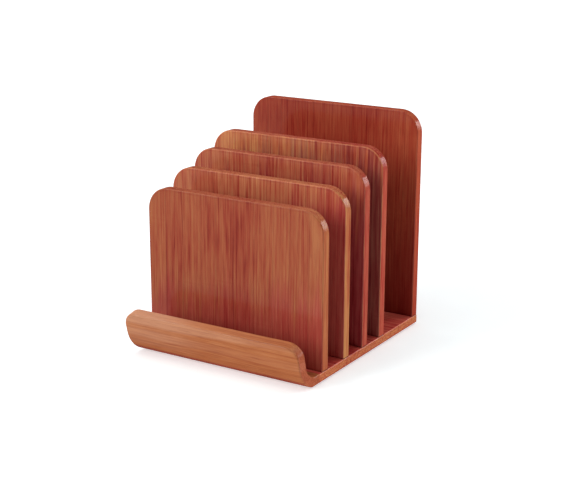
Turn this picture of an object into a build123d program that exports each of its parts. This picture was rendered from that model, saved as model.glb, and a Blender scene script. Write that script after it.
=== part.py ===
from build123d import *
from math import acos, cos, degrees, radians, sin
import os

# Desktop file sorter in laminated bamboo: a flat base board whose front edge carries an
# upswept lip, four dividers that step up in height from front to back, and a taller back
# panel behind a wider section.  Screws driven up through the base board hold the panels,
# and dowels hold the lip.
# All sizes are in millimetres.  +X runs along the panels, +Y from the lip to the back
# panel, +Z up.  The origin is on the desk, under the middle of the whole sorter.

# ---- boards -------------------------------------------------------------------------
width = 203.0
stock = 11.0
base_thickness = 9.6
edge_ease = 1.2
under_ease = 1.8

# ---- upright panels, heights above the top of the base board ------------------------
divider_names = ("front_divider", "second_divider", "third_divider", "fourth_divider")
front_divider_height = 156.5
divider_step = 13.3
back_panel_height = 221.5
panel_corner_radius = 23.5
section_widths = (30.0, 27.0, 25.0, 65.0)

# ---- front lip, measured from the underside of the base board and from the front face
# ---- of the front divider -----------------------------------------------------------
lip_height = 46.8
lip_lean = 13.0
lip_inner_radius = 19.0
lip_outer_radius = 35.0
lip_inner_start = 11.0
lip_outer_start = 7.0
lip_joint = 5.0
lip_corner_radius = 15.0

# ---- foot pads ----------------------------------------------------------------------
pad_thickness = 1.2
pad_radius = 6.0
pad_side_inset = 14.0
pad_end_inset = 13.0

# ---- countersunk screws, two under each panel ---------------------------------------
screw_spacing = 135.0
screw_length = 32.0
screw_crest_radius = 2.0
screw_root_radius = 1.4
screw_thread_pitch = 1.8
screw_thread_turns = 10
screw_tip_length = 3.0
screw_head_radius = 4.0
screw_head_depth = 2.4
screw_head_sink = 0.3
recess_span = 4.4
recess_slot = 0.9
recess_depth = 1.5
pilot_extra_depth = 1.0

# ---- dowels across the joint between the base board and the lip ---------------------
dowel_radius = 3.0
dowel_length = 22.0
dowel_chamfer = 0.6
dowel_in_lip = 8.0
dowel_places = (-50.0, 0.0, 50.0)

# ---- levels and places worked out from the sizes above ------------------------------
base_under = pad_thickness
base_top = base_under + base_thickness
base_middle = base_under + base_thickness / 2
half_width = width / 2
screw_start = base_under + screw_head_sink


def panel_front_places():
    """Y of each panel's front face, measured from the front divider's front face."""
    places = [0.0]
    for clear_width in section_widths:
        places.append(places[-1] + stock + clear_width)
    return places


panel_fronts = panel_front_places()
base_rear = panel_fronts[-1] + stock


# ---- shared shapes ------------------------------------------------------------------
def rounded_rod(radius, length, chamfer_size):
    """A round rod standing on the origin, chamfered at both ends."""
    rod = Pos(0, 0, length / 2) * Cylinder(radius, length)
    return chamfer(rod.edges().filter_by(GeomType.CIRCLE), chamfer_size)


def screw_places(panel_front):
    """The two screw axes under one panel, as X and Y."""
    middle = panel_front + stock / 2
    return [(-screw_spacing / 2, middle), (screw_spacing / 2, middle)]


def screw_outline():
    """Half section of a screw that points up from its flat head at height 0."""
    tip_start = screw_length - screw_tip_length
    thread_start = tip_start - screw_thread_turns * screw_thread_pitch
    points = [(0, 0), (screw_head_radius, 0), (screw_crest_radius, screw_head_depth)]
    points.append((screw_crest_radius, thread_start))
    for turn in range(screw_thread_turns):
        ridge = thread_start + turn * screw_thread_pitch
        points.append((screw_root_radius, ridge + screw_thread_pitch / 4))
        points.append((screw_root_radius, ridge + screw_thread_pitch / 2))
        points.append((screw_crest_radius, ridge + screw_thread_pitch))
    points.append((0, screw_length))
    return points


def make_screw():
    """A countersunk wood screw with a ridged thread and a cross recess in its head."""
    half_section = make_face(Polyline(*screw_outline(), close=True))
    screw = revolve(Plane.XZ * half_section, Axis.Z, 360)
    for angle in (0, 90):
        slot = Box(recess_span, recess_slot, recess_depth)
        screw -= Pos(0, 0, recess_depth / 2) * Rot(0, 0, angle) * slot
    return screw


def countersink(place):
    """The stepped hole that one screw fills, from the base board's underside."""
    through = Pos(0, 0, base_thickness / 2) * Cylinder(screw_crest_radius, base_thickness)
    cone = Cone(screw_head_radius, screw_crest_radius, screw_head_depth)
    seat = Pos(0, 0, screw_head_sink + screw_head_depth / 2) * cone
    mouth = Pos(0, 0, screw_head_sink / 2) * Cylinder(screw_head_radius, screw_head_sink)
    return Pos(place[0], place[1], base_under) * (through + seat + mouth)


def pilot_hole(place):
    """The blind hole up into a panel's bottom edge that one screw's thread fills."""
    depth = screw_start + screw_length - base_top + pilot_extra_depth
    return Pos(place[0], place[1], base_top + depth / 2) * Cylinder(screw_crest_radius, depth)


def dowel_hole(place):
    """The round hole across the lip joint that one dowel fills."""
    middle = dowel_length / 2 - dowel_in_lip - lip_joint
    rod = Rot(90, 0, 0) * Cylinder(dowel_radius, dowel_length)
    return Pos(place, middle, base_middle) * rod


# ---- sub-parts ----------------------------------------------------------------------
def make_base_board():
    depth = base_rear + lip_joint
    middle = (base_rear - lip_joint) / 2
    board = Pos(0, middle, base_middle) * Box(width, depth, base_thickness)
    outer = board.edges().filter_by(lambda edge: edge.center().Y > -lip_joint + edge_ease)
    top_edges = outer.filter_by(lambda edge: abs(edge.center().Z - base_top) < edge_ease)
    board = fillet(top_edges, edge_ease)
    outer = board.edges().filter_by(lambda edge: edge.center().Y > -lip_joint + edge_ease)
    under_edges = outer.filter_by(lambda edge: abs(edge.center().Z - base_under) < edge_ease)
    board = fillet(under_edges, under_ease)
    for panel_front in panel_fronts:
        for place in screw_places(panel_front):
            board -= countersink(place)
    for place in dowel_places:
        board -= dowel_hole(place)
    return board


def lip_section():
    """The lip's section in Y and Z: flat at the joint, then swept up and forward.
    The lip is as thick as the panels, so its outer sweep meets the underside of the
    thinner base board in a corner."""
    turn = lip_lean - 90
    outer_centre = Vector(-lip_outer_start, base_top - stock + lip_outer_radius)
    inner_centre = Vector(-lip_inner_start, base_top + lip_inner_radius)
    cut = -degrees(acos((outer_centre.Y - base_under) / lip_outer_radius))
    outer_arc = CenterArc(outer_centre, lip_outer_radius, -90 + cut, turn - cut)
    inner_arc = CenterArc(inner_centre, lip_inner_radius, -90, turn)
    lean = radians(lip_lean)
    up_lip = Vector(-sin(lean), cos(lean))
    inward = Vector(cos(lean), sin(lean))
    outer_end = outer_arc @ 1
    inner_end = inner_arc @ 1
    rise = (base_under + lip_height - outer_end.Y) / up_lip.Y
    outer_top = outer_end + up_lip * rise
    inner_top = outer_top + inward * (inner_end - outer_end).dot(inward)
    outline = [
        Line((-lip_joint, base_under), outer_arc @ 0),
        outer_arc,
        Line(outer_end, outer_top),
        Line(outer_top, inner_top),
        Line(inner_top, inner_end),
        inner_arc,
        Line(inner_arc @ 0, (-lip_joint, base_top)),
        Line((-lip_joint, base_top), (-lip_joint, base_under)),
    ]
    return make_face(outline)


def ease_rims(solid, side_faces, rim_faces, radius):
    """Round the edges that the side faces share with the rim faces."""
    rim_edges = [edge for face in rim_faces for edge in face.edges()]
    shared = ShapeList()
    for face in side_faces:
        for edge in face.edges():
            if any(edge.is_same(other) for other in rim_edges):
                shared.append(edge)
    return fillet(shared, radius)


def lip_faces(lip):
    """The lip's inner faces, outer faces and rim, told apart by where they point."""
    lean = radians(lip_lean)
    inward = Vector(0, cos(lean), sin(lean))
    inner, outer, rim = [], [], []
    for face in lip.faces():
        facing = face.normal_at(face.center()).dot(inward)
        if face.center().Y > -lip_joint - edge_ease / 2:
            continue
        if facing > sin(lean) / 2:
            inner.append(face)
        elif facing < -sin(lean) / 2:
            outer.append(face)
        else:
            rim.append(face)
    return inner, outer, rim


def make_front_lip():
    lip = extrude(Plane.YZ * lip_section(), half_width, both=True)
    top_face = lip.faces().sort_by(Axis.Z)[-1]
    corners = top_face.edges().filter_by(Axis.X, reverse=True)
    lip = fillet(corners, lip_corner_radius)
    inner, outer, rim = lip_faces(lip)
    lip = ease_rims(lip, outer, rim, under_ease)
    inner, outer, rim = lip_faces(lip)
    lip = ease_rims(lip, inner, rim, edge_ease)
    for place in dowel_places:
        lip -= dowel_hole(place)
    return lip


def make_panel(panel_front, height):
    """An upright board with round top corners and eased edges, standing on the base."""
    outline = Pos(0, height / 2) * Rectangle(width, height)
    top_corners = outline.vertices().filter_by(lambda corner: corner.Y > height / 2)
    outline = fillet(top_corners, panel_corner_radius)
    standing = Plane((0, panel_front, base_top), x_dir=(1, 0, 0), z_dir=(0, -1, 0))
    panel = extrude(standing * outline, -stock)
    faces = panel.faces().sort_by(Axis.Y)
    panel = fillet(faces[0].edges() + faces[-1].edges(), edge_ease)
    for place in screw_places(panel_front):
        panel -= pilot_hole(place)
    return panel


def make_panel_screws(panel_front):
    """The pair of screws that holds one panel, as two separate solids."""
    screw = make_screw()
    return Compound([Pos(x, y, screw_start) * screw for x, y in screw_places(panel_front)])


def make_lip_dowels():
    """The row of dowels across the lip joint, as separate solids."""
    middle = dowel_length / 2 - dowel_in_lip - lip_joint
    rod = rounded_rod(dowel_radius, dowel_length, dowel_chamfer)
    lying = Rot(-90, 0, 0) * Pos(0, 0, -dowel_length / 2) * rod
    return Compound([Pos(x, middle, base_middle) * lying for x in dowel_places])


def make_foot_pad(x, y):
    """A thin round pad under the base board; its top rim is left square for the glue."""
    return Pos(x, y, pad_thickness / 2) * Cylinder(pad_radius, pad_thickness)


# ---- the whole sorter, centred on the origin ----------------------------------------
def make_sorter():
    lip = make_front_lip()
    nodes = {"base_board": make_base_board(), "front_lip": lip}
    nodes["lip_dowels"] = make_lip_dowels()
    panel_names = divider_names + ("back_panel",)
    heights = [front_divider_height + step * divider_step for step in range(len(divider_names))]
    heights.append(back_panel_height)
    for name, panel_front, height in zip(panel_names, panel_fronts, heights):
        nodes[name] = make_panel(panel_front, height)
        nodes[name + "_screws"] = make_panel_screws(panel_front)
    pad_rows = {"front": pad_end_inset - lip_joint, "rear": base_rear - pad_end_inset}
    pad_sides = {"left": pad_side_inset - half_width, "right": half_width - pad_side_inset}
    for row, y in pad_rows.items():
        for side, x in pad_sides.items():
            nodes[f"{row}_{side}_foot_pad"] = make_foot_pad(x, y)
    centre_y = (lip.bounding_box().min.Y + base_rear) / 2
    return {name: Pos(0, -centre_y, 0) * shape for name, shape in nodes.items()}


if __name__ == "__main__":
    os.makedirs("parts", exist_ok=True)
    for name, shape in make_sorter().items():
        export_step(shape, f"parts/{name}.step")
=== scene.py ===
"""A desktop file sorter in stained, laminated bamboo: five upright boards and a scooped
front lip on a base board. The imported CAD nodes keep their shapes; this script gives them
their materials, and adds the floor, the light and the camera."""

import math

import bpy
from mathutils import Matrix, Vector


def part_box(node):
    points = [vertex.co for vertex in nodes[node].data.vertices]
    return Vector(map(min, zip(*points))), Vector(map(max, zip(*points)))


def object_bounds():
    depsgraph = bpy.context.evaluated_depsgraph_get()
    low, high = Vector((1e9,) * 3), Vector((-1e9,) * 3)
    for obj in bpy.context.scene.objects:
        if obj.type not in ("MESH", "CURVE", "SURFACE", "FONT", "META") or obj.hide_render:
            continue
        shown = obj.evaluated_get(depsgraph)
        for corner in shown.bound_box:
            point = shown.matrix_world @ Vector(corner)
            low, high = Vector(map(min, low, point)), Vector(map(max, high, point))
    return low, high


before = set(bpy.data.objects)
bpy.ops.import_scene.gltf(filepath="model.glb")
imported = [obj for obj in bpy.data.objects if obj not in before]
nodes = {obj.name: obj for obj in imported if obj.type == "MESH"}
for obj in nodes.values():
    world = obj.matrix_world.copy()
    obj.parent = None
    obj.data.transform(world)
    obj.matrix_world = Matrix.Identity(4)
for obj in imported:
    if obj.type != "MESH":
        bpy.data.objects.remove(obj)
cad_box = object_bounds()

MM = 1000.0  # millimetres in a metre

# ---------------------------------------------------------------- node trees


class Tree:
    """One material's node tree, with short calls that add and link its nodes."""

    def __init__(self, name):
        self.material = bpy.data.materials.new(name)
        self.material.use_nodes = True
        self.tree = self.material.node_tree
        self.shader = self.tree.nodes["Principled BSDF"]

    def add(self, kind, **settings):
        node = self.tree.nodes.new(kind)
        for key, value in settings.items():
            setattr(node, key, value)
        return node

    def feed(self, socket, value):
        """Links a socket, or sets a plain value. None leaves the input as it is."""
        if isinstance(value, bpy.types.NodeSocket):
            self.tree.links.new(value, socket)
        elif value is not None:
            socket.default_value = value

    def shade(self, **inputs):
        """Feeds the shader's inputs, named with _ for each space."""
        for name, value in inputs.items():
            self.feed(self.shader.inputs[name.replace("_", " ")], value)

    def place(self):
        """X, Y and Z of the point in the shared frame, in metres."""
        return self.split(self.add("ShaderNodeTexCoord").outputs["Object"])

    def maths(self, operation, a, b=None, c=None):
        node = self.add("ShaderNodeMath", operation=operation)
        for socket, value in zip(node.inputs, (a, b, c)):
            self.feed(socket, value)
        return node.outputs[0]

    def plus(self, *terms):
        total = terms[0]
        for term in terms[1:]:
            total = self.maths("ADD", total, term)
        return total

    def minus(self, a, b):
        return self.maths("SUBTRACT", a, b)

    def times(self, a, b):
        return self.maths("MULTIPLY", a, b)

    def size(self, a):
        """The value without its sign."""
        return self.maths("ABSOLUTE", a)

    def step(self, value, low, high, to_low=0.0, to_high=1.0):
        """A smooth step from to_low to to_high as value goes from low to high."""
        node = self.add("ShaderNodeMapRange", interpolation_type="SMOOTHSTEP")
        for name, number in (
            ("Value", value),
            ("From Min", low),
            ("From Max", high),
            ("To Min", to_low),
            ("To Max", to_high),
        ):
            self.feed(node.inputs[name], number)
        return node.outputs["Result"]

    def point(self, x, y, z):
        node = self.add("ShaderNodeCombineXYZ")
        for socket, value in zip(node.inputs, (x, y, z)):
            self.feed(socket, value)
        return node.outputs[0]

    def split(self, vector):
        node = self.add("ShaderNodeSeparateXYZ")
        self.feed(node.inputs[0], vector)
        return node.outputs

    def noise(self, vector, detail=2.0, rough=0.5, distortion=0.0):
        """Noise of about one feature for each unit of vector, from 0 to 1 about 0.5."""
        node = self.add("ShaderNodeTexNoise")
        self.feed(node.inputs["Vector"], vector)
        node.inputs["Scale"].default_value = 1.0
        node.inputs["Detail"].default_value = detail
        node.inputs["Roughness"].default_value = rough
        node.inputs["Distortion"].default_value = distortion
        return node.outputs["Fac"]

    def cells(self, x, y, randomness, **settings):
        """The outputs of a plane of cells, each about one unit wide."""
        node = self.add("ShaderNodeTexVoronoi", voronoi_dimensions="2D", **settings)
        self.feed(node.inputs["Vector"], self.point(x, y, 0.0))
        node.inputs["Scale"].default_value = 1.0
        node.inputs["Randomness"].default_value = randomness
        return node.outputs

    def ramp(self, value, stops):
        node = self.add("ShaderNodeValToRGB")
        elements = node.color_ramp.elements
        while len(elements) < len(stops):
            elements.new(0.5)
        for element, (position, colour) in zip(elements, stops):
            element.position = position
            element.color = (*colour, 1.0)
        self.feed(node.inputs[0], value)
        return node.outputs[0]

    def mix(self, share, a, b, blend="MIX"):
        node = self.add("ShaderNodeMix", data_type="RGBA", blend_type=blend)
        self.feed(node.inputs[0], share)
        for socket, value in ((node.inputs[6], a), (node.inputs[7], b)):
            if isinstance(value, tuple):
                value = (*value, 1.0)
            self.feed(socket, value)
        return node.outputs[2]

    def stain(self, share, colour, tint):
        """The colour with a tint multiplied in, by a share from 0 to 1."""
        return self.mix(share, colour, tint, blend="MULTIPLY")

    def bump(self, height, distance):
        node = self.add("ShaderNodeBump")
        node.inputs["Strength"].default_value = 1.0
        node.inputs["Distance"].default_value = distance
        self.feed(node.inputs["Height"], height)
        return node.outputs[0]


def axis_of(letter):
    return "XYZ".index(letter)


def tinted(colour, gain):
    return tuple(channel * factor for channel, factor in zip(colour, gain))


# ---------------------------------------------------------------- bamboo

# Stained tones from the darkest fibre to the palest, as linear colours.
PANEL_TONES = (
    (0.00, (0.215, 0.022, 0.014)),
    (0.25, (0.298, 0.047, 0.026)),
    (0.50, (0.345, 0.078, 0.038)),
    (0.75, (0.378, 0.105, 0.048)),
    (1.00, (0.425, 0.142, 0.062)),
)
LIP_TONES = (
    (0.00, (0.300, 0.075, 0.030)),
    (0.25, (0.390, 0.115, 0.044)),
    (0.50, (0.450, 0.148, 0.058)),
    (0.75, (0.500, 0.182, 0.075)),
    (1.00, (0.560, 0.225, 0.105)),
)
# The lip's pale strips, with a painted highlight in their colour.
PALE_AND_HIGHLIGHT = (0.593, 0.320, 0.200)
# The darkest colour: for pores and glue lines, and for the painted contact shade where an
# upright meets the base.
DEEP_STAIN_AND_SHADE = (0.075, 0.012, 0.009)
END_GRAIN = (0.180, 0.036, 0.020)

# Tints, multiplied into the colour below them.
PLAIN = (1.0, 1.0, 1.0)
# The next tint is a painted shade for surfaces that turn down.
UNDER_SHADE = (0.58, 0.26, 0.34)
INSET_LINE_TINT = (0.72, 0.42, 0.50)
# How much paler the worn edges are; a painted highlight is part of it.
RUBBED_AND_HIGHLIGHT_GAIN = 1.15

# The laminate, in millimetres: one strip's width, one ply, an upright's thickness and the
# length of cane between two knuckles. The randomness is how unevenly the strips are cut.
STRIP = 21.0
PLY = 3.7
UPRIGHT_DEPTH = 11.0
KNUCKLE_SPACING = 210.0
STRIP_RANDOMNESS = 0.32

# How far a board's seed moves it in the timber, and how high a foot's flames and tongues
# of stain and painted shade reach, in millimetres.
SEED_ACROSS, SEED_ALONG = 137.0, 411.0
FLAME_REACH, TONGUE_REACH = 95.0, 90.0

# Streaks of the grain: a streak's width and length in millimetres, and then, where they
# differ from the usual, the noise's detail, its roughness and its shift.
WANDER = (70.0, 170.0)
FIBRE = (1.8, 150.0, 2.0, 0.62)
HAIR = (1.0, 45.0, 1.0, 0.5, 31.7)
FLAME = (4.4, 32.0, 2.0, 0.55, 17.3)
BROAD = (58.0, 120.0, 1.0, 0.5, 5.1)
PORES = (0.7, 16.0, 1.0, 0.5, 51.9)
KNUCKLE_EDGE = (2.5, 12.0, 1.0, 0.5, 2.2)
FOOT_FLAMES = (2.8, 110.0, 1.0, 0.6, 9.4)
FOOT_TONGUES = (9.0, 130.0, 1.0, 0.5, 3.3)
PATCHES = (14.0, 18.0, 2.0, 0.6, 77.7)
SMEAR = (60.0, 60.0, 3.0, 0.6, 88.1)

# How squarely a surface has to look along an axis to count as a wide face or a cut end.
WIDE_FACE = (0.35, 0.80)
CUT_END = (0.55, 0.92)

# The lacquer. It is thinner on faces that look along X and on undersides.
ROUGHNESS = 0.46
COAT_WEIGHT = 0.20
COAT_LOSS = 0.14
COAT_ROUGHNESS = 0.14
COAT_IOR = 1.5
GRAIN_RELIEF = 0.00012


class Board(Tree):
    """The node tree of one board's bamboo, which knows the way of its grain.

    a, t and g are millimetres across, through and along the grain. t is measured from the
    board's middle; the other two are shifted by the board's own seed, so that no two
    boards show the same timber. chance is a strip's own random numbers, wide and cut tell
    how far the surface is a wide face or a cut end, and downward how far it looks down."""

    def __init__(self, node, along, across, through, seed, strip, ply, depth):
        super().__init__("bamboo_" + node)
        self.near_corner, self.far_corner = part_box(node)
        middle = (self.near_corner + self.far_corner) / 2
        self.xyz = self.place()
        self.a, self.t, self.g = [
            self.maths("MULTIPLY_ADD", self.xyz[axis_of(axis)], MM, shift)
            for axis, shift in (
                (across, SEED_ACROSS * seed),
                (through, -middle[axis_of(through)] * MM),
                (along, SEED_ALONG * seed),
            )
        ]
        # The fibres wander a little across the board.
        self.a = self.plus(self.a, self.times(self.streaks(*WANDER), 5.0))

        # One cell is one strip in one ply; the outer plies run right to the surface.
        inner = (depth - ply) / 2
        t_inside = self.maths("MAXIMUM", self.maths("MINIMUM", self.t, inner), -inner)
        self.cell = (
            self.times(self.a, 1 / strip), self.times(t_inside, 1 / ply), STRIP_RANDOMNESS
        )
        self.chance = self.split(self.cells(*self.cell, distance="CHEBYCHEV")["Color"])

        self.facing = self.split(self.add("ShaderNodeNewGeometry").outputs["Normal"])
        self.wide = self.size(self.facing[axis_of(through)])
        self.cut = self.step(self.size(self.facing[axis_of(along)]), *CUT_END)
        self.downward = self.times(self.facing[2], -1.0)

    def streaks(self, width, length, detail=1.0, rough=0.5, shift=0.0):
        """Noise drawn out along the grain, about 0."""
        at = self.point(
            self.maths("MULTIPLY_ADD", self.a, 1 / width, shift),
            self.times(self.t, 1 / width),
            self.times(self.g, 1 / length),
        )
        return self.plus(self.noise(at, detail, rough), -0.5)

    def knuckles(self):
        """The dark line and the pale glow of the knuckles: each strip has one here and
        there, at its own height."""
        turn = self.plus(
            self.times(self.g, 1 / KNUCKLE_SPACING), self.times(self.chance[1], 7.0)
        )
        near = self.times(
            self.size(self.plus(self.maths("FRACT", turn), -0.5)), KNUCKLE_SPACING
        )
        near = self.plus(near, self.times(self.streaks(*KNUCKLE_EDGE), 4.0))
        return self.step(near, 0.2, 1.5, 1.0, 0.0), self.step(near, 1.2, 6.0, 1.0, 0.0)

    def foot_stain_and_shade(self, low, high, lean, raggedness):
        """Where the wide faces took a deeper stain and a painted shade, with a flame-shaped
        upper border.
        """
        x, _, z = self.xyz
        ragged = self.plus(
            self.maths("MULTIPLY_ADD", z, MM, self.times(x, -MM * lean)),
            self.times(self.streaks(*FOOT_FLAMES), FLAME_REACH * raggedness),
            self.times(self.streaks(*FOOT_TONGUES), TONGUE_REACH * raggedness),
        )
        redder = self.step(ragged, low, high, 1.0, 0.0)
        return self.times(redder, self.step(self.wide, *WIDE_FACE))

    def end_dots(self):
        """Dots of fibre bundles on a cut end."""
        bundle = self.cells(self.times(self.a, 1.1), self.times(self.t, 1.1), 0.9)
        dots = self.step(bundle["Distance"], 0.18, 0.42, 0.40, 0.0)
        return self.times(self.plus(dots, 0.05), self.cut)

    def glue_lines(self):
        """Glue lines between strips, and between the plies on a cut end."""
        edge = self.cells(*self.cell, feature="DISTANCE_TO_EDGE")
        return self.step(edge["Distance"], 0.0, 0.020, 0.35, 0.0)

    def inset(self, radius):
        """Millimetres from an upright's outline, inwards, in the plane of its wide faces.
        The outline has round top corners of the given radius."""
        x, _, z = self.xyz
        reach = (self.far_corner[0] - self.near_corner[0]) / 2 * MM - radius
        past_x = self.maths("MULTIPLY_ADD", self.size(x), MM, -reach)
        past_z = self.maths("MULTIPLY_ADD", z, MM, radius - self.far_corner[2] * MM)
        outside = self.add("ShaderNodeVectorMath", operation="LENGTH")
        beyond = [self.maths("MAXIMUM", past, 0.0) for past in (past_x, past_z)]
        self.feed(outside.inputs[0], self.point(*beyond, 0.0))
        inside = self.maths("MINIMUM", self.maths("MAXIMUM", past_x, past_z), 0.0)
        return self.minus(radius, self.plus(outside.outputs["Value"], inside))

    def coat(self):
        """The weight of the lacquer's coat."""
        thin = self.plus(
            self.step(self.size(self.facing[0]), 0.90, 0.985, 0.0, COAT_LOSS),
            self.step(self.downward, 0.25, 0.70, 0.0, COAT_LOSS),
        )
        return self.minus(COAT_WEIGHT, thin)


def bamboo(node, tones, along, across, through, seed, strip=STRIP, ply=PLY,
           depth=UPRIGHT_DEPTH, gain=PLAIN, tone=0.5, foot=None, side=PLAIN, end=PLAIN,
           under=None, corner=None, bands=(), contrast=1.0, joint=None, worn=0.45,
           pale_and_highlight=None):
    """Laminated bamboo: wide strips glued side by side in thin plies, each with its own
    tone, fine lines of fibre along the grain, faint knuckles, flame-shaped patches where
    the stain took deeper and a shade is painted, and a satin lacquer that is worn paler
    along the edges, where a highlight is painted as well.

    along, across and through are the board's axes, and depth is its thickness. gain, side
    and end tint the whole board, its long edges and its cut ends. tone is the mean place
    on the ramp of tones, and contrast the strength of the grain. bands and
    pale_and_highlight are functions that return a change of tone and a share of pale
    strips with a painted highlight. foot is explained at PANELS. under gives how far the
    surface has to turn down to take a painted shade, corner the radius of an upright's top
    corners, joint the height where an upright meets the base, with a painted contact shade
    and a glue line, and worn how far the edges are worn paler and highlighted."""
    tree = Board(node, along, across, through, seed, strip, ply, depth)
    wide, cut = tree.wide, tree.cut

    fibre = tree.streaks(*FIBRE)
    hair = tree.streaks(*HAIR)
    knuckle_line, knuckle_glow = tree.knuckles()
    tone_value = tree.plus(
        tree.times(tree.plus(tree.chance[0], -0.5), 0.16),
        tree.times(fibre, 1.20 * contrast),
        tree.times(hair, 1.00 * contrast),
        tree.times(tree.streaks(*FLAME), 0.78 * contrast),
        tree.times(tree.streaks(*BROAD), 0.85),
        tone,
        tree.times(knuckle_line, -0.07),
        tree.times(knuckle_glow, 0.05),
        *[band(tree) for band in bands],
    )
    colour = tree.ramp(
        tone_value, tuple((stop, tinted(shade, gain)) for stop, shade in tones)
    )
    # Pale strips on the lip, with a painted highlight on them.
    if pale_and_highlight is not None:
        colour = tree.mix(pale_and_highlight(tree), colour, PALE_AND_HIGHLIGHT)
    # The foot: deeper stain with a painted shade, low down on the wide faces.
    if foot is not None:
        low, high, foot_tint, lean, raggedness = foot
        colour = tree.stain(tree.foot_stain_and_shade(low, high, lean, raggedness), colour, foot_tint)
    long_edge = tree.times(tree.step(wide, *WIDE_FACE, 1.0, 0.0), tree.minus(1.0, cut))
    colour = tree.stain(long_edge, colour, side)
    colour = tree.stain(cut, colour, end)

    # Painted shade where the surface turns down, on undersides and lower edges.
    if under is not None:
        colour = tree.stain(tree.step(tree.downward, *under), colour, UNDER_SHADE)

    # A dark line where an upright meets the base: a painted contact shade, and glue.
    if joint is not None:
        height = tree.times(tree.xyz[2], MM)
        seam_shade = tree.step(height, joint + 0.3, joint + 1.1, 0.85, 0.0)
        colour = tree.mix(seam_shade, colour, DEEP_STAIN_AND_SHADE)

    # Pores are fine dark dashes along the grain.
    pore = tree.step(tree.streaks(*PORES), 0.10, 0.24, 0.0, 0.26)
    dots = tree.end_dots()
    glue = tree.glue_lines()
    for share, dark in ((pore, DEEP_STAIN_AND_SHADE), (dots, END_GRAIN), (glue, DEEP_STAIN_AND_SHADE)):
        colour = tree.mix(share, colour, dark)

    # The rounded edges are worn paler in patches, where the stain is thinner, and carry a
    # painted highlight as well. Just inside them, on a panel's wide faces, a thin line is a
    # little darker.
    rim = tree.times(wide, tree.minus(1.0, wide))
    patchy = tree.step(tree.streaks(*PATCHES), -0.12, 0.16, 0.25, 1.0)
    rubbed_and_highlit = tree.times(tree.step(rim, 0.06, 0.20, 0.0, worn), patchy)
    if corner is not None:
        inset = tree.inset(corner)
        line = tree.times(tree.step(inset, 1.1, 1.7), tree.step(inset, 1.7, 3.4, 0.42, 0.0))
        colour = tree.stain(tree.times(line, patchy), colour, INSET_LINE_TINT)
    palest = tinted(tones[-1][1], gain)
    colour = tree.mix(rubbed_and_highlit, colour, tuple(channel * RUBBED_AND_HIGHLIGHT_GAIN for channel in palest))

    rough = tree.plus(
        ROUGHNESS,
        tree.times(fibre, 0.20),
        tree.times(tree.streaks(*SMEAR), 0.16),
        tree.times(pore, 0.30),
        tree.times(cut, 0.08),
    )
    relief = tree.plus(
        tree.times(fibre, 1.6),
        tree.times(hair, 0.7),
        tree.times(pore, -1.6),
        tree.times(glue, -1.4),
        tree.times(knuckle_glow, 0.35),
        tree.times(dots, -0.8),
    )
    tree.shade(
        Base_Color=colour,
        Roughness=rough,
        Specular_IOR_Level=0.0,
        Coat_Weight=tree.coat(),
        Coat_Roughness=COAT_ROUGHNESS,
        Coat_IOR=COAT_IOR,
        Normal=tree.bump(relief, GRAIN_RELIEF),
    )
    return tree.material


# ---------------------------------------------------------------- felt, zinc, beech


def felt(name):
    """Pressed dark felt for the foot pads."""
    tree = Tree(name)
    scaled = tree.add("ShaderNodeVectorMath", operation="SCALE")
    tree.feed(scaled.inputs[0], tree.add("ShaderNodeTexCoord").outputs["Object"])
    scaled.inputs["Scale"].default_value = 1600.0
    fuzz = tree.noise(scaled.outputs[0], detail=3.0, rough=0.65, distortion=0.8)
    colour = tree.ramp(
        fuzz,
        (
            (0.30, (0.060, 0.034, 0.026)),
            (0.50, (0.115, 0.068, 0.050)),
            (0.72, (0.200, 0.130, 0.098)),
        ),
    )
    tree.shade(
        Base_Color=colour,
        Roughness=tree.step(fuzz, 0.3, 0.7, 0.98, 0.86),
        Sheen_Weight=0.4,
        Sheen_Roughness=0.5,
        Normal=tree.bump(fuzz, 0.0003),
    )
    return tree.material


def zinc(name):
    """Bright zinc plating: faint turning lines round each shank, a blotchy passivate tint."""
    tree = Tree(name)
    x, y, z = tree.place()
    blotch = tree.noise(
        tree.point(*[tree.times(value, 420.0) for value in (x, y, z)]), detail=3.0, rough=0.6
    )
    lines = tree.noise(
        tree.point(tree.times(x, 300.0), tree.times(y, 300.0), tree.times(z, 9000.0)),
        detail=1.0,
    )
    colour = tree.ramp(
        blotch,
        (
            (0.30, (0.46, 0.46, 0.45)),
            (0.50, (0.60, 0.60, 0.58)),
            (0.70, (0.70, 0.69, 0.64)),
        ),
    )
    tree.shade(
        Base_Color=colour,
        Metallic=1.0,
        Roughness=tree.step(blotch, 0.3, 0.7, 0.24, 0.42),
        Normal=tree.bump(lines, 0.00003),
    )
    return tree.material


def beech(name):
    """Plain turned beech for the hidden dowels: pale, with short dark flecks along Y."""
    tree = Tree(name)
    x, y, z = tree.place()
    grain = tree.noise(
        tree.point(tree.times(x, 1300.0), tree.times(y, 60.0), tree.times(z, 1300.0)),
        detail=3.0,
        rough=0.6,
    )
    colour = tree.ramp(
        grain,
        (
            (0.25, (0.36, 0.19, 0.09)),
            (0.50, (0.60, 0.39, 0.22)),
            (0.75, (0.72, 0.52, 0.32)),
        ),
    )
    tree.shade(
        Base_Color=colour,
        Roughness=tree.step(grain, 0.3, 0.7, 0.72, 0.58),
        Normal=tree.bump(grain, 0.0001),
    )
    return tree.material


# ---------------------------------------------------------------- each board's own look


def paler_right(board):
    """The front panel is a little paler towards the right."""
    return board.step(board.xyz[0], 0.045, 0.085, 0.0, 0.19)


def paler_left(board):
    """The fourth panel's tone falls off a little from left to right."""
    return board.step(board.xyz[0], -0.055, 0.060, 0.07, -0.08)


def base_edge_shade(board):
    """A thin line of painted shade along the base board's lower edge."""
    return board.step(board.xyz[2], 0.0028, 0.0038, -0.50, 0.0)


def scoop_shade(board):
    """The lip's hollow behind its curve is darker with painted shade, but not its right end.
    """
    x, y, _ = board.xyz
    behind = board.step(y, -0.100, -0.092, 0.0, -0.35)
    return board.times(behind, board.step(x, 0.1006, 0.1010, 1.0, 0.0))


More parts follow.
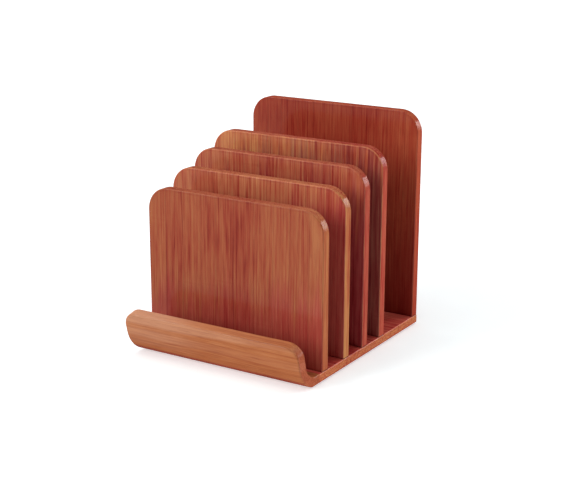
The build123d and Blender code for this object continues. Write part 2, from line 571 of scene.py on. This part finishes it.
def lip_pale_strips_and_highlight(board):
    """Where the lip has pale strips with a painted highlight on them: a strip along its upper
    edge, which narrows towards the right, a fainter one below it, and a little more at the
    left end. Heights and places are in millimetres."""
    x, _, z = board.xyz
    across = board.times(x, MM)
    wave = board.noise(board.point(board.times(x, 14.0), 0.3, board.times(z, 60.0)))
    height = board.plus(board.times(z, MM), board.times(board.plus(wave, -0.5), 5.0))

    lower_edge = board.step(across, -40.0, 100.0, 37.2, 43.5)
    above = board.step(board.minus(height, lower_edge), -1.2, 2.6)
    strip = board.times(above, board.step(across, 15.0, 85.0, 0.31, 0.13))
    top = board.times(board.step(height, 45.5, 48.5), board.step(across, -60.0, 0.0))
    strip = board.times(strip, board.minus(1.0, board.times(top, 0.75)))

    second = board.times(
        board.step(height, 22.0, 25.5), board.step(height, 31.0, 34.0, 1.0, 0.0)
    )
    middle = board.step(across, -70.0, 40.0, 1.0, 0.35)
    lowest = board.step(height, 11.0, 17.0)
    left = board.step(across, -70.0, 5.0, 1.0, 0.0)
    return board.plus(
        strip,
        board.times(board.times(second, middle), 0.16),
        board.times(board.times(lowest, left), 0.13),
    )


# Each upright's tints and the foot of its stain. The tints are partly the board's own
# colour and partly painted light, which evens out how the lamps here light each board,
# its long edges and its cut ends. A foot is deeper stain with a painted shade in it,
# darker low down and in the slots: the two heights, in millimetres, between which it
# fades out, its tint, its rise towards the right in millimetres for each millimetre, and
# how ragged its border is.
PANELS = {
    "front_divider": dict(
        seed=1, tone=0.54, gain=(0.86, 0.84, 0.77), side=(1.45, 1.58, 1.53),
        end=(1.68, 1.86, 2.10), foot=(42.0, 94.0, (1.04, 0.70, 1.10), 0.10, 0.60),
        bands=(paler_right,),
    ),
    "second_divider": dict(
        seed=2, tone=0.52, gain=(1.31, 1.54, 1.52), side=(1.11, 1.34, 1.08),
        end=(1.26, 1.40, 1.37), foot=(108.0, 160.0, (0.80, 0.44, 0.72), 0.45, 0.6),
    ),
    "third_divider": dict(
        seed=3, tone=0.50, gain=(1.21, 1.32, 1.32), side=(1.10, 0.79, 0.97),
        end=(1.18, 1.20, 1.31), foot=(112.0, 200.0, (0.72, 0.45, 0.86), 0.15, 1.0),
    ),
    "fourth_divider": dict(
        seed=4, tone=0.50, gain=(1.42, 1.84, 1.60), side=(1.00, 0.59, 0.84),
        end=(1.08, 0.84, 1.15), foot=(150.0, 217.0, (0.58, 0.49, 0.84), 0.22, 1.0),
        bands=(paler_left,),
    ),
    "back_panel": dict(
        seed=5, tone=0.50, gain=(0.85, 0.55, 0.56), side=(1.50, 1.55, 1.50),
        end=(1.60, 1.95, 1.95), foot=(30.0, 160.0, (0.80, 0.60, 0.75), 0.0, 1.0),
    ),
}
TOP_RADIUS = 23.5
BASE_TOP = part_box("base_board")[1].z * MM
BASE_SIDE = (1.09, 2.10, 1.20)


def dress(node_name, material):
    for slot in nodes[node_name].material_slots:
        slot.material = material


for name, look in PANELS.items():
    dress(
        name,
        bamboo(
            name, PANEL_TONES, along="Z", across="X", through="Y",
            corner=TOP_RADIUS, joint=BASE_TOP, **look,
        ),
    )
# The base board's tints are partly its own colour and partly painted light, which lifts it
# where it lies in shade between the uprights.
dress(
    "base_board",
    bamboo(
        "base_board", PANEL_TONES, along="X", across="Y", through="Z",
        seed=7, tone=0.45, gain=(1.75, 1.30, 1.90), side=BASE_SIDE, end=BASE_SIDE,
        under=(0.12, 0.55), bands=(base_edge_shade,),
    ),
)
dress(
    "front_lip",
    bamboo(
        "front_lip", LIP_TONES, along="X", across="Z", through="Y",
        seed=9, strip=6.5, ply=21.0, depth=60.0,
        tone=0.42, contrast=0.95, gain=(0.77, 0.71, 0.63), side=(1.42, 1.53, 1.67),
        end=(1.38, 1.15, 1.50), foot=(9.0, 14.0, (1.08, 1.04, 1.15), 0.02, 0.12),
        worn=0.06, under=(0.66, 0.80), bands=(scoop_shade,), pale_and_highlight=lip_pale_strips_and_highlight,
    ),
)
dress("lip_dowels", beech("turned_beech"))
steel = zinc("zinc_plated_steel")
pad_felt = felt("pressed_felt")
for name in nodes:
    if name.endswith("_screws"):
        dress(name, steel)
    elif name.endswith("_foot_pad"):
        dress(name, pad_felt)

# ---------------------------------------------------------------- floor

low, high = cad_box
FLOOR_HALF = 12.0  # metres
FLOOR_GLOW = 0.48


def floor_material():
    """A plain pale floor, with a glow that keeps it white where no shadow falls."""
    tree = Tree("pale_floor")
    speckle = tree.noise(
        tree.point(*[tree.times(value, 35.0) for value in tree.place()]), detail=3.0
    )
    tree.shade(
        Base_Color=tree.ramp(speckle, ((0.3, (0.79, 0.88, 0.90)), (0.7, (0.82, 0.91, 0.93)))),
        Roughness=0.9,
        Specular_IOR_Level=0.1,
        Emission_Color=(1.0, 1.0, 1.0, 1.0),
        Emission_Strength=FLOOR_GLOW,
    )
    return tree.material


mesh = bpy.data.meshes.new("studio_floor")
mesh.from_pydata(
    [(x * FLOOR_HALF, y * FLOOR_HALF, 0.0) for x, y in ((-1, -1), (1, -1), (1, 1), (-1, 1))],
    [],
    [(0, 1, 2, 3)],
)
floor = bpy.data.objects.new("studio_floor", mesh)
floor.location.z = low.z
bpy.context.scene.collection.objects.link(floor)
mesh.materials.append(floor_material())

# ---------------------------------------------------------------- light

# The room is seen as white, but lights the object only faintly.
SEEN_STRENGTH = 1.0
LIGHTING_STRENGTH = 0.06

world = bpy.data.worlds.new("studio_white")
world.use_nodes = True
sky = world.node_tree
plain_white = sky.nodes["Background"]
plain_white.inputs["Color"].default_value = (1.0, 1.0, 1.0, 1.0)
seen = sky.nodes.new("ShaderNodeLightPath")
strength = sky.nodes.new("ShaderNodeMapRange")
strength.inputs["To Min"].default_value = LIGHTING_STRENGTH
strength.inputs["To Max"].default_value = SEEN_STRENGTH
sky.links.new(seen.outputs["Is Camera Ray"], strength.inputs["Value"])
sky.links.new(strength.outputs[0], plain_white.inputs["Strength"])
bpy.context.scene.world = world

# Azimuth 0 is in front of the object and 90 on its right; both are in degrees.
LIGHTS = {
    "key_left": dict(azimuth=-34.0, elevation=21.0, power=2.30, spread=36.0),
    "overhead": dict(azimuth=-60.0, elevation=76.0, power=1.50, spread=75.0),
    "rear_right": dict(azimuth=147.0, elevation=12.0, power=2.00, spread=28.0),
}
centre = (low + high) / 2
for name, lamp in LIGHTS.items():
    azimuth, elevation = math.radians(lamp["azimuth"]), math.radians(lamp["elevation"])
    away = Vector(
        (
            math.sin(azimuth) * math.cos(elevation),
            -math.cos(azimuth) * math.cos(elevation),
            math.sin(elevation),
        )
    )
    data = bpy.data.lights.new(name, "SUN")
    data.energy = lamp["power"]
    data.angle = math.radians(lamp["spread"])
    light = bpy.data.objects.new(name, data)
    light.rotation_mode = "QUATERNION"
    light.rotation_quaternion = (-away).to_track_quat("-Z", "Y")
    light.location = centre + away
    bpy.context.scene.collection.objects.link(light)

# ---------------------------------------------------------------- camera

YAW, PITCH, ROLL = math.radians(31.5886), math.radians(16.1613), math.radians(-0.2316)
CAMERA_AT = Vector((0.67380, -1.06819, 0.46331))
LENS, SENSOR = 79.90, 36.0
CLIP_START, CLIP_END = 0.01, 60.0

ahead = Vector(
    (-math.sin(YAW) * math.cos(PITCH), math.cos(YAW) * math.cos(PITCH), -math.sin(PITCH))
)
level = Vector((math.cos(YAW), math.sin(YAW), 0.0))
down = ahead.cross(level)
right = math.cos(ROLL) * level + math.sin(ROLL) * down
down = math.cos(ROLL) * down - math.sin(ROLL) * level
camera_data = bpy.data.cameras.new("camera")
camera_data.lens = LENS
camera_data.sensor_width = SENSOR
camera_data.sensor_fit = "HORIZONTAL"
camera_data.clip_start, camera_data.clip_end = CLIP_START, CLIP_END
camera = bpy.data.objects.new("camera", camera_data)
camera.matrix_world = Matrix.Translation(CAMERA_AT) @ Matrix(
    (right, -down, -ahead)
).transposed().to_4x4()
bpy.context.scene.collection.objects.link(camera)
bpy.context.scene.camera = camera
bpy.context.scene.view_settings.view_transform = "Standard"
